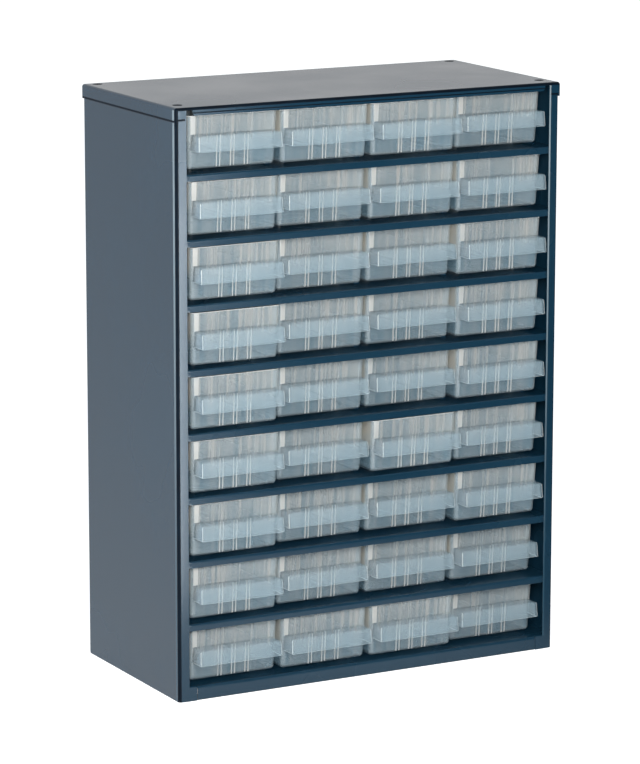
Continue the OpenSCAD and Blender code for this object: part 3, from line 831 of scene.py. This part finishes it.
class AddSideSheets(bpy.types.Operator):
    """Adds the two side sheets, each with its flanges and foot tab"""

    bl_idname = "cabinet.add_side_sheets"
    bl_label = "Side sheets"

    def execute(self, context):
        for node, side in (("left_side", -1), ("right_side", 1)):
            self.add_side(context.scene.cabinet_sheet, node, side)
        return {"FINISHED"}

    def add_side(self, size, node, side):
        """One side sheet; side is -1 for the left one."""
        low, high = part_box(node)
        outer = max(abs(low.x), abs(high.x))
        inner_x = side * (outer - size.front_flange)
        rear_x = side * (outer - size.rear_flange)
        foot_z = low.z + size.foot_height
        sheet = add_box(node, (side * outer, low.y, low.z), (inner_x, high.y, high.z))
        dress(sheet, COATS)
        with editing(sheet):
            pick(sheet, "FACE", lambda at, face: abs(face.normal.z) > STRAIGHT or near(at.x, inner_x))
            delete("FACE")
            pick(sheet, "VERT", lambda at, vert: near(at.x, inner_x) and near(at.y, high.y))
            move(x=rear_x - inner_x)
            pick(sheet, "VERT", lambda at, vert: near(at.x, side * outer) and near(at.y, low.y))
            move(y=size.spring)
            pick(sheet, "EDGE", lambda at, edge: near(at.x, side * outer) and runs(edge, Z))
            round_edges(size.fold, steps=6)
            cut_at(sheet, Z, foot_z,
                   lambda at, face: at.y < low.y + size.spring and abs(at.x) < outer - size.fold)
            pick(sheet, "EDGE", lambda at, edge: near(at.x, inner_x) and near(at.y, low.y) and at.z < foot_z)
            bpy.ops.mesh.extrude_edges_move(
                TRANSFORM_OT_translate={"value": (-side * size.foot_width, 0, 0)})
            bpy.ops.mesh.select_all(action="SELECT")
            bpy.ops.mesh.normals_make_consistent(inside=False)
        if self.faces_inwards(sheet, side):
            with editing(sheet):
                bpy.ops.mesh.select_all(action="SELECT")
                bpy.ops.mesh.flip_normals()
        thicken(sheet, size.sheet)
        with editing(sheet):
            pick(sheet, "EDGE", lambda at, edge: near(at.x, inner_x) and runs(edge, Y)
                 and near(at.z, foot_z) and at.y < low.y + size.sheet)
            round_edges(size.foot_round, steps=4)
            if side < 0:
                self.mark_bend(sheet, size, outer, low.y + size.spring + size.fold)
            else:
                self.mark_flange(sheet, size, outer, low.y + size.spring, foot_z)
        finish_sheet(sheet, COATS)
        sheet.name = node.replace("side", "sheet")
        stands_for(sheet, "cabinet", node)

    @staticmethod
    def mark_bend(sheet, size, outer, bend_y):
        """Paints shade and a dark reflection on the left sheet's front bend, and a highlight on the line
        beside it.
        """
        line_y = bend_y + size.highlight_line

        def on_outside(at, face):
            return face.normal.x < -STRAIGHT and at.x < TINY - outer

        cut_at(sheet, Y, line_y, on_outside)
        give_finish(sheet, HIGHLIGHT_FINISH, lambda at, face: on_outside(at, face) and at.y < line_y)
        give_finish(sheet, SHADE_FINISH, lambda at, face: at.x < size.fold - outer and at.y < bend_y
                    and face.normal.x < -TURNED and face.normal.y < -TURNED)

    @staticmethod
    def mark_flange(sheet, size, outer, flange_y, foot_z):
        """Paints a highlight on the inner edge of the right sheet's front flange, above its foot tab."""
        edge_x = outer - size.front_flange + size.highlight_edge

        def on_flange(at, face):
            return face.normal.y < -STRAIGHT and at.y < flange_y + TINY and at.z > foot_z

        cut_at(sheet, X, edge_x, on_flange)
        give_finish(sheet, HIGHLIGHT_FINISH, lambda at, face: on_flange(at, face) and at.x < edge_x)

    @staticmethod
    def faces_inwards(sheet, side):
        """Whether the large face of an open sheet points to the cabinet's inside."""
        largest = max(sheet.data.polygons, key=lambda face: face.area)
        return largest.normal.x * side < 0


def add_beads(floor, top_z):
    """Raises the guide beads out of a floor, one between each two columns and one at each side."""
    size = bpy.context.scene.cabinet_sheet
    low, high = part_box("top_cap")
    columns = len(DRAWERS) // (len(SHELVES) + 1)
    for place in range(columns + 1):
        x = (place - columns / 2) * size.column_pitch
        bead = add_box("bead", (x - size.bead_width / 2, low.y + size.bead_front, top_z - size.sheet / 2),
                       (x + size.bead_width / 2, high.y - size.bead_rear, top_z + size.bead_height))
        with editing(bead):
            pick(bead, "EDGE", lambda at, edge: near(at.z, top_z + size.bead_height))
            round_edges(size.bead_height * size.bead_round, steps=4)
        combine(floor, bead, "UNION")


class AddShelves(bpy.types.Operator):
    """Adds the shelves, whose lips step back behind the side flanges at their ends"""

    bl_idname = "cabinet.add_shelves"
    bl_label = "Shelves"

    def execute(self, context):
        size = context.scene.cabinet_sheet
        low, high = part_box(SHELVES[0])
        top_z = high.z - size.bead_height
        flange_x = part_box("right_side")[1].x - size.front_flange
        step_x = flange_x - size.lip_step
        sheet = add_box("shelf", low, (high.x, high.y, top_z))
        with editing(sheet):
            self.notch_corners(sheet, size, low, high)
            for x in (step_x, step_x + size.lip_slant):
                for side in (-1, 1):
                    cut_at(sheet, X, side * x)
            pick(sheet, "VERT", lambda at, vert: near(at.y, low.y) and abs(at.x) > step_x + TINY)
            move(y=size.sheet)
            pick(sheet, "EDGE", lambda at, edge: near(at.z, top_z) and not edge.is_boundary and (
                (at.y < low.y + size.sheet + TINY and not runs(edge, Y)) or near(at.y, high.y)
                or near(abs(at.x), high.x)))
            round_edges(size.shelf_fold, steps=5)
        thicken(sheet, size.sheet)
        add_beads(sheet, top_z)
        finish_sheet(sheet, COATS[:1])
        for node in SHELVES:
            shelf = copy_of(sheet, node + "_sheet", (0, 0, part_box(node)[1].z - high.z))
            stands_for(shelf, "cabinet", node)
        bpy.data.objects.remove(sheet)
        return {"FINISHED"}

    def notch_corners(self, sheet, size, low, high):
        """Opens the box below, cuts its front down to the lip, and notches its four upright corners."""
        top_z = high.z - size.bead_height
        notch_x = high.x - size.corner_cut
        front_y = low.y + size.sheet + size.corner_cut
        rear_y = high.y - size.corner_cut
        pick(sheet, "FACE", lambda at, face: near(at.z, low.z))
        delete("FACE")
        pick(sheet, "VERT", lambda at, vert: near(at.y, low.y) and at.z < top_z - TINY)
        move(z=top_z - low.z - size.shelf_lip)
        for x in (-notch_x, notch_x):
            cut_at(sheet, X, x)
        for y in (front_y, rear_y):
            cut_at(sheet, Y, y)
        pick(sheet, "FACE", lambda at, face: abs(at.x) > notch_x and not front_y < at.y < rear_y)
        delete("FACE")


class AddBaseTray(bpy.types.Operator):
    """Adds the base tray, with its front lip and the hems under it"""

    bl_idname = "cabinet.add_base_tray"
    bl_label = "Base tray"

    def execute(self, context):
        size = context.scene.cabinet_sheet
        low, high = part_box("base_tray")
        top_z = high.z - size.bead_height
        foot_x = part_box("right_side")[1].x - size.front_flange - size.foot_width
        lip_x = foot_x - size.sheet / 2
        tray = add_box("tray", (-lip_x, low.y, low.z), (lip_x, high.y, top_z))
        with editing(tray):
            pick(tray, "FACE", lambda at, face: near(at.z, low.z) or abs(at.x) > lip_x - TINY)
            delete("FACE")
            for y, hem in ((low.y, size.hem), (high.y, -size.hem)):
                pick(tray, "EDGE", lambda at, edge: near(at.y, y) and near(at.z, low.z))
                bpy.ops.mesh.extrude_edges_move(TRANSFORM_OT_translate={"value": (0, hem, 0)})
            pick(tray, "EDGE", lambda at, edge: runs(edge, X) and not edge.is_boundary and near(at.z, top_z))
            round_edges(size.fold, steps=6)
            pick(tray, "EDGE", lambda at, edge: runs(edge, X) and not edge.is_boundary and near(at.z, low.z))
            round_edges(size.fold / 2, steps=4)
        thicken(tray, size.sheet)
        front_y = low.y + size.sheet + size.corner_cut
        rear_y = high.y - size.corner_cut
        for side in (-1, 1):
            wing = add_box("wing", (side * (lip_x - size.sheet), front_y, top_z - size.sheet),
                           (side * high.x, rear_y, top_z))
            combine(tray, wing, "UNION")
            fold = add_box("fold", (side * (high.x - size.sheet), front_y, low.z),
                           (side * high.x, rear_y, top_z - size.sheet / 2))
            combine(tray, fold, "UNION")
        add_beads(tray, top_z)
        finish_sheet(tray, COATS[:1])
        tray.name = "tray_sheet"
        stands_for(tray, "cabinet", "base_tray")
        return {"FINISHED"}


class AddBack(bpy.types.Operator):
    """Finishes the back panel and adds the domed rivets that hold it"""

    bl_idname = "cabinet.add_back"
    bl_label = "Back"

    def execute(self, context):
        size = context.scene.cabinet_sheet
        dress(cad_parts["back_panel"], COATS[:1])
        low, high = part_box("back_rivets")
        panel_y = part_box("back_panel")[1].y
        head = add_cylinder("rivet", (0, panel_y + size.sheet / 2, 0), size.rivet_head, size.sheet,
                            axis="Y", sides=32)
        with editing(head):
            pick(head, "EDGE", lambda at, edge: lies_at(edge, Y, panel_y + size.sheet))
            round_edges(size.sheet * size.rivet_dome, steps=4)
        side_x = high.x - size.rivet_head / 2
        bottom_z = low.z + size.rivet_head / 2
        pitch = (high.z - low.z - size.rivet_head) / (size.rivet_rows - 1)
        heads = [copy_of(head, "rivet_head", (x, 0, bottom_z + row * pitch))
                 for x in (-side_x, side_x) for row in range(size.rivet_rows)]
        bpy.data.objects.remove(head)
        take(heads[0])
        for other in heads:
            other.select_set(True)
        bpy.ops.object.join()
        rivets = bpy.context.object
        rivets.name = "rivet_heads"
        dress(rivets, ["rivet_aluminium"])
        smooth(rivets, angle=40)
        stands_for(rivets, "cabinet", "back_rivets")
        return {"FINISHED"}


# ----------------------------------------------------------------------------------------- drawers

class AddDrawers(bpy.types.Operator):
    """Adds the drawers: one is moulded, and its copies go where the frame's drawers are"""

    bl_idname = "cabinet.add_drawers"
    bl_label = "Drawers"

    def execute(self, context):
        size = context.scene.cabinet_drawer
        drawer = self.mould_tub(size)
        parts = [self.mould_hood(size)]
        parts += self.mould_ribs(size) + self.mould_slots(size)
        parts += self.mould_runners(size) + self.mould_stops(size)
        for part in parts:
            dress(part, PLASTICS)
            combine(drawer, part, "UNION")
        smooth(drawer)
        for node in DRAWERS:
            low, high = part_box(node)
            place = ((low.x + high.x) / 2, low.y + size.hood_reach + size.hood_flare,
                     low.z + size.runner_height)
            moulded = copy_of(drawer, node.replace("drawer", "bin"), place)
            stands_for(moulded, node, node)
        bpy.data.objects.remove(drawer)
        return {"FINISHED"}

    def mould_tub(self, size):
        """The tub, with leaning walls, rounded corners and a rounded rim."""
        half = size.width / 2
        centre = (0, size.depth / 2, 0)
        tub = add_box("tub", (-half, 0, 0), (half, size.depth, size.height))
        dress(tub, PLASTICS)
        with editing(tub):
            pick(tub, "FACE", lambda at, face: near(at.z, 0))
            bpy.ops.transform.resize(value=(1 - size.side_lean / half, 1 - 2 * size.end_lean / size.depth, 1),
                                     center_override=centre)
            # The rounded corners and the floor's edge get the pale corner finish, partly a painted highlight.
            pick(tub, "EDGE", lambda at, edge: not near(at.z, 0) and not near(at.z, size.height))
            round_edges(size.corner, steps=5, finish=CORNER_FINISH)
            pick(tub, "EDGE", lambda at, edge: lies_at(edge, Z, 0))
            round_edges(size.floor_round, steps=4, finish=CORNER_FINISH)
            pick(tub, "FACE", lambda at, face: near(at.z, size.height))
            bpy.ops.mesh.inset(thickness=size.wall)
            bpy.ops.mesh.extrude_region_move(
                TRANSFORM_OT_translate={"value": (0, 0, size.wall - size.height)})
            bpy.ops.transform.resize(value=(1 - size.side_lean / (half - size.wall),
                                            1 - 2 * size.end_lean / (size.depth - 2 * size.wall), 1),
                                     center_override=centre)
            pick(tub, "EDGE", lambda at, edge: lies_at(edge, Z, size.wall))
            round_edges(size.floor_round - size.wall, steps=3)
            self.mark_walls(tub, size)
            # The rim is white, partly as a painted highlight.
            pick(tub, "EDGE", lambda at, edge: lies_at(edge, Z, size.height) and is_corner(edge))
            round_edges(size.rim_round, steps=2, finish=EDGE_FINISH)
            give_finish(tub, EDGE_FINISH, lambda at, face: near(at.z, size.height))
        return tub

    def mark_walls(self, tub, size):
        """Paints highlights on the bands beside the front corners above the hood, white on the left and pale
        on the right, and gives the side walls and the floor their own finishes.
        """
        band_x = size.width / 2 - size.corner - size.corner_highlight

        def on_front(at, face):
            return face.normal.y < -STRAIGHT and at.y < size.depth / 2

        def over_hood(at, face):
            return on_front(at, face) and at.z > size.hood_top

        for x in (-band_x, band_x):
            cut_at(tub, X, x, on_front)
        cut_at(tub, Z, size.hood_top, on_front)
        give_finish(tub, CORNER_FINISH, lambda at, face: over_hood(at, face) and at.x > band_x)
        give_finish(tub, BAND_FINISH, lambda at, face: over_hood(at, face) and at.x < -band_x)
        give_finish(tub, SIDE_FINISH, lambda at, face: abs(face.normal.x) > STRAIGHT)
        give_finish(tub, FLOOR_FINISH, lambda at, face: abs(face.normal.z) > STRAIGHT
                    and at.z < size.height / 2)

    def front_wall(self, size, z):
        """Place of the front wall's outer face at a height."""
        return size.end_lean * (1 - z / size.height)

    def mould_hood(self, size):
        """The hooded handle, open below and at the back, with thin walls."""
        half = size.hood_width / 2
        top, low = size.hood_top, size.hood_top - size.hood_height
        spare = size.hood_wall  # made that much too long, and cut off level once it has its walls
        longer = 1 + spare / size.hood_height
        root_y = self.front_wall(size, top) + size.hood_root * size.wall
        hood = add_box("hood", (-half, -size.hood_reach, low - spare), (half, root_y, top))
        with editing(hood):
            pick(hood, "VERT", lambda at, vert: near(at.z, low - spare))
            bpy.ops.transform.resize(value=(1 + longer * size.hood_spread / half, 1, 1),
                                     center_override=(0, 0, low))
            pick(hood, "VERT", lambda at, vert: near(at.z, low - spare) and at.y < 0)
            move(y=-longer * size.hood_flare)
            pick(hood, "VERT", lambda at, vert: near(at.z, low - spare) and at.y > 0)
            move(y=self.front_wall(size, low - spare) - self.front_wall(size, top))
            pick(hood, "FACE", lambda at, face: near(at.z, low - spare)
                 or at.y > 0 and abs(face.normal.y) > STRAIGHT)
            delete("FACE")
        thicken(hood, size.hood_wall)
        dress(hood, PLASTICS)
        with editing(hood):
            bpy.ops.mesh.select_all(action="SELECT")
            bpy.ops.mesh.bisect(plane_co=(0, 0, low), plane_no=(0, 0, -1), use_fill=True, clear_outer=True)
            give_finish(hood, EDGE_FINISH, lambda at, face: near(at.z, low))
            give_finish(hood, HOOD_FINISH, lambda at, face: at.z > low + TINY)
            pick(hood, "EDGE", lambda at, edge: runs(edge, Y) and near(at.z, top) and is_corner(edge))
            round_edges(size.hood_corner, steps=4, finish=HOOD_FINISH)
            # The hood's upright front edges get the white edge finish as a painted highlight.
            pick(hood, "EDGE", lambda at, edge: at.y < self.hood_front(size, at.z) + TINY
                 and at.z > low + TINY and runs(edge, Z) and is_corner(edge))
            round_edges(size.hood_round, steps=3, finish=EDGE_FINISH)
            pick(hood, "EDGE", lambda at, edge: at.y < 0 and near(at.z, low) and is_corner(edge))
            round_edges(size.rim_round, steps=2, finish=HOOD_FINISH)
            # The hood's left end is paler as a painted highlight.
            give_finish(hood, CORNER_FINISH, lambda at, face: face.normal.x < -size.highlight_turn
                        and at.x < -half + size.hood_wall / 2)
        return hood

    def hood_front(self, size, z):
        """Place of the hood's front at a height."""
        return -size.hood_reach - size.hood_flare * (size.hood_top - z) / size.hood_height

    def mould_ribs(self, size):
        """The pairs of ribs on the front wall, which lean with it."""
        low, top = size.floor_round / 2, size.hood_top - size.hood_wall / 2
        ribs = []
        for pair in (-1, 0, 1):
            for side in (-1, 1):
                x = pair * size.rib_pitch + side * size.rib_gap / 2
                rib = add_box("rib", (x - size.rib_width / 2, -size.rib_out, low),
                              (x + size.rib_width / 2, size.wall / 2, top))
                with editing(rib):
                    for z in (low, top):
                        pick(rib, "VERT", lambda at, vert: near(at.z, z))
                        move(y=self.front_wall(size, z))
                give_all(rib, BAND_FINISH)
                ribs.append(rib)
        return ribs

    def mould_slots(self, size):
        """Pairs of ribs inside the side walls, which would hold dividers."""
        low, top = size.wall / 2, size.height - size.slot_drop
        root_x = (size.width - size.wall) / 2
        tip_x = root_x - size.wall / 2 - size.slot_rib
        bars = []
        for side in (-1, 1):
            for slot in (1, 2, 3):
                for edge in (-1, 1):
                    y = slot * size.depth / 4 + edge * (size.slot_gap + size.slot_rib) / 2
                    bar = add_box("slot", (side * root_x, y - size.slot_rib / 2, low),
                                  (side * tip_x, y + size.slot_rib / 2, top))
                    with editing(bar):
                        pick(bar, "VERT", lambda at, vert: near(at.z, low))
                        move(x=-side * size.side_lean)
                    bars.append(bar)
        return bars

    def mould_runners(self, size):
        """The two runners under the floor."""
        rear_y = size.depth - size.end_lean - size.corner
        runners = []
        for side in (-1, 1):
            x = side * size.runner_span / 2
            runner = add_box("runner", (x - size.runner_width / 2, size.runner_inset, -size.runner_height),
                             (x + size.runner_width / 2, rear_y, size.wall / 2))
            with editing(runner):
                pick(runner, "EDGE", lambda at, edge: near(at.z, -size.runner_height))
                round_edges(size.rim_round, steps=2)
            runners.append(runner)
        return runners

    def mould_stops(self, size):
        """The stop tabs on the rim, near the rear."""
        rear_y = size.depth - size.stop_inset
        outer = size.width / 2 - size.side_lean * size.stop_root / size.height
        top = size.height + size.stop_height
        stops = []
        for side in (-1, 1):
            stop = add_box("stop", (side * outer, rear_y - size.stop_length, size.height - size.stop_root),
                           (side * (outer - size.wall), rear_y, top))
            with editing(stop):
                pick(stop, "EDGE", lambda at, edge: near(at.z, top) or runs(edge, Z))
                round_edges(size.rim_round, steps=2)
            stops.append(stop)
        return stops


# ------------------------------------------------------------------------------------------- stage

class AddStage(bpy.types.Operator):
    """Adds the floor, the lights and the camera"""

    bl_idname = "cabinet.add_stage"
    bl_label = "Stage"

    def execute(self, context):
        stage = context.scene.cabinet_stage
        context.scene.view_settings.view_transform = "Standard"
        self.add_camera(context, stage)
        self.add_floor(stage)
        self.light_world(context, stage)
        self.add_lamp("key", stage, stage.key_size, stage.key_size)
        self.add_lamp("side", stage, stage.side_width, stage.side_height)
        strip = self.add_lamp("strip", stage, stage.strip_width, stage.strip_height)
        strip.rotation_euler.rotate_axis("Z", stage.strip_lean)
        strip.visible_diffuse = False
        return {"FINISHED"}

    def add_camera(self, context, stage):
        """The camera, turned about the upright axis and looking a little down."""
        deselect()
        bpy.ops.object.camera_add()
        camera = context.object
        turned = Euler((math.pi / 2 - stage.elevation, 0, stage.azimuth)).to_matrix()
        right, up, back = turned.col
        camera.location = (stage.distance * back + stage.look_up * up - stage.look_left * right
                           + Vector((0, stage.look_back, 0)))
        camera.rotation_euler = (turned @ Euler((0, 0, stage.roll)).to_matrix()).to_euler()
        camera.data.lens = stage.lens
        camera.data.clip_start = 0.05
        context.scene.camera = camera

    def add_floor(self, stage):
        """A wide pale floor, which looks white and keeps the shadow."""
        deselect()
        bpy.ops.mesh.primitive_plane_add(size=stage.floor_size)
        floor = bpy.context.object
        floor.name = "floor"
        tree, shader = new_material("pale_floor")
        place = tree.nodes.new("ShaderNodeTexCoord").outputs["Object"]
        bright_x, dim_x = 0.03, 0.32
        eye, gloss, left = self.seen_by(tree, along(tree, "X", place), ((bright_x, 1), (dim_x, 0)))
        hidden = calculate(tree, "MULTIPLY", gloss, ramp(tree, left, ((0, 1), (1, 0))))
        glow = mix(tree, gloss, 0, ramp(tree, left, ((0, stage.dim), (1, stage.sheen))), "FLOAT")
        feed(tree, shader, Base_Color=mix(tree, hidden, stage.floor, (0, 0, 0)), Roughness=0.9,
             Specular_IOR_Level=0, Emission_Color=(1, 1, 1),
             Emission_Strength=mix(tree, eye, glow, stage.glow, "FLOAT"))
        dress(floor, ["pale_floor"])

    def light_world(self, context, stage):
        """White to the eye, white behind and dim in front to a gloss, and softer as a light."""
        world = bpy.data.worlds.new("studio")
        context.scene.world = world
        world.use_nodes = True
        tree = world.node_tree
        toward = tree.nodes.new("ShaderNodeTexCoord").outputs["Generated"]
        dim_y, bright_y = -0.32, -0.06
        eye, gloss, rear = self.seen_by(tree, along(tree, "Y", toward), ((dim_y, 0), (bright_y, 1)))
        glow = mix(tree, gloss, stage.world, ramp(tree, rear, ((0, stage.dim), (1, stage.behind))), "FLOAT")
        feed(tree, tree.nodes["Background"], Strength=mix(tree, eye, glow, 1, "FLOAT"),
             Color=mix(tree, calculate(tree, "MAXIMUM", eye, gloss), stage.sky, (1, 1, 1)))

    @staticmethod
    def seen_by(tree, place, stops):
        """Masks for the eye, for what a gloss or a clear wall shows, and for a place between two stops."""
        path = tree.nodes.new("ShaderNodeLightPath")
        gloss = calculate(tree, "MAXIMUM", path.outputs["Is Glossy Ray"], path.outputs["Is Transmission Ray"])
        return path.outputs["Is Camera Ray"], gloss, ramp(tree, place, stops)

    @staticmethod
    def add_lamp(name, stage, width, height):
        """A soft rectangular lamp that faces the cabinet's middle."""
        place = getattr(stage, name + "_spot")
        deselect()
        bpy.ops.object.light_add(type="AREA", location=place)
        lamp = bpy.context.object
        lamp.name = name
        lamp.data.shape = "RECTANGLE"
        lamp.data.size = width
        lamp.data.size_y = height
        lamp.data.energy = getattr(stage, name)
        lamp.data.color = getattr(stage, name + "_tint")
        lamp.visible_camera = False
        aim = Vector((0, 0, stage.lamp_aim)) - Vector(place)
        lamp.rotation_euler = aim.to_track_quat("-Z", "Y").to_euler()
        return lamp


# ------------------------------------------------------------------------------------------- panel

OPERATORS = (AddTopCap, AddSideSheets, AddBaseTray, AddShelves, AddBack, AddDrawers, AddStage)
SETTINGS = {"cabinet_sheet": SheetSizes, "cabinet_drawer": DrawerSizes,
            "cabinet_finish": Finishes, "cabinet_stage": StageSettings}


class CabinetPanel(bpy.types.Panel):
    """Lists the pieces of the cabinet"""

    bl_idname = "VIEW3D_PT_cabinet"
    bl_label = "Parts bin cabinet"
    bl_space_type = "VIEW_3D"
    bl_region_type = "UI"
    bl_category = "Cabinet"

    def draw(self, context):
        for operator in OPERATORS:
            self.layout.operator(operator.bl_idname)
        for name, group in SETTINGS.items():
            box = self.layout.box()
            box.label(text=group.__doc__)
            for key in group.__annotations__:
                box.prop(getattr(context.scene, name), key)


def register():
    """Registers the settings, the operators and the panel."""
    for name, group in SETTINGS.items():
        bpy.utils.register_class(group)
        setattr(bpy.types.Scene, name, PointerProperty(type=group))
    for operator in OPERATORS:
        bpy.utils.register_class(operator)
    bpy.utils.register_class(CabinetPanel)


def unregister():
    """Takes them away again, in the opposite order."""
    bpy.utils.unregister_class(CabinetPanel)
    for operator in reversed(OPERATORS):
        bpy.utils.unregister_class(operator)
    for name, group in reversed(SETTINGS.items()):
        delattr(bpy.types.Scene, name)
        bpy.utils.unregister_class(group)


def main():
    """Builds the cabinet and its stage."""
    register()
    bpy.ops.cabinet.add_stage()
    bpy.ops.cabinet.add_top_cap()
    bpy.ops.cabinet.add_side_sheets()
    bpy.ops.cabinet.add_base_tray()
    bpy.ops.cabinet.add_shelves()
    bpy.ops.cabinet.add_back()
    bpy.ops.cabinet.add_drawers()


if __name__ == "__main__":
    main()
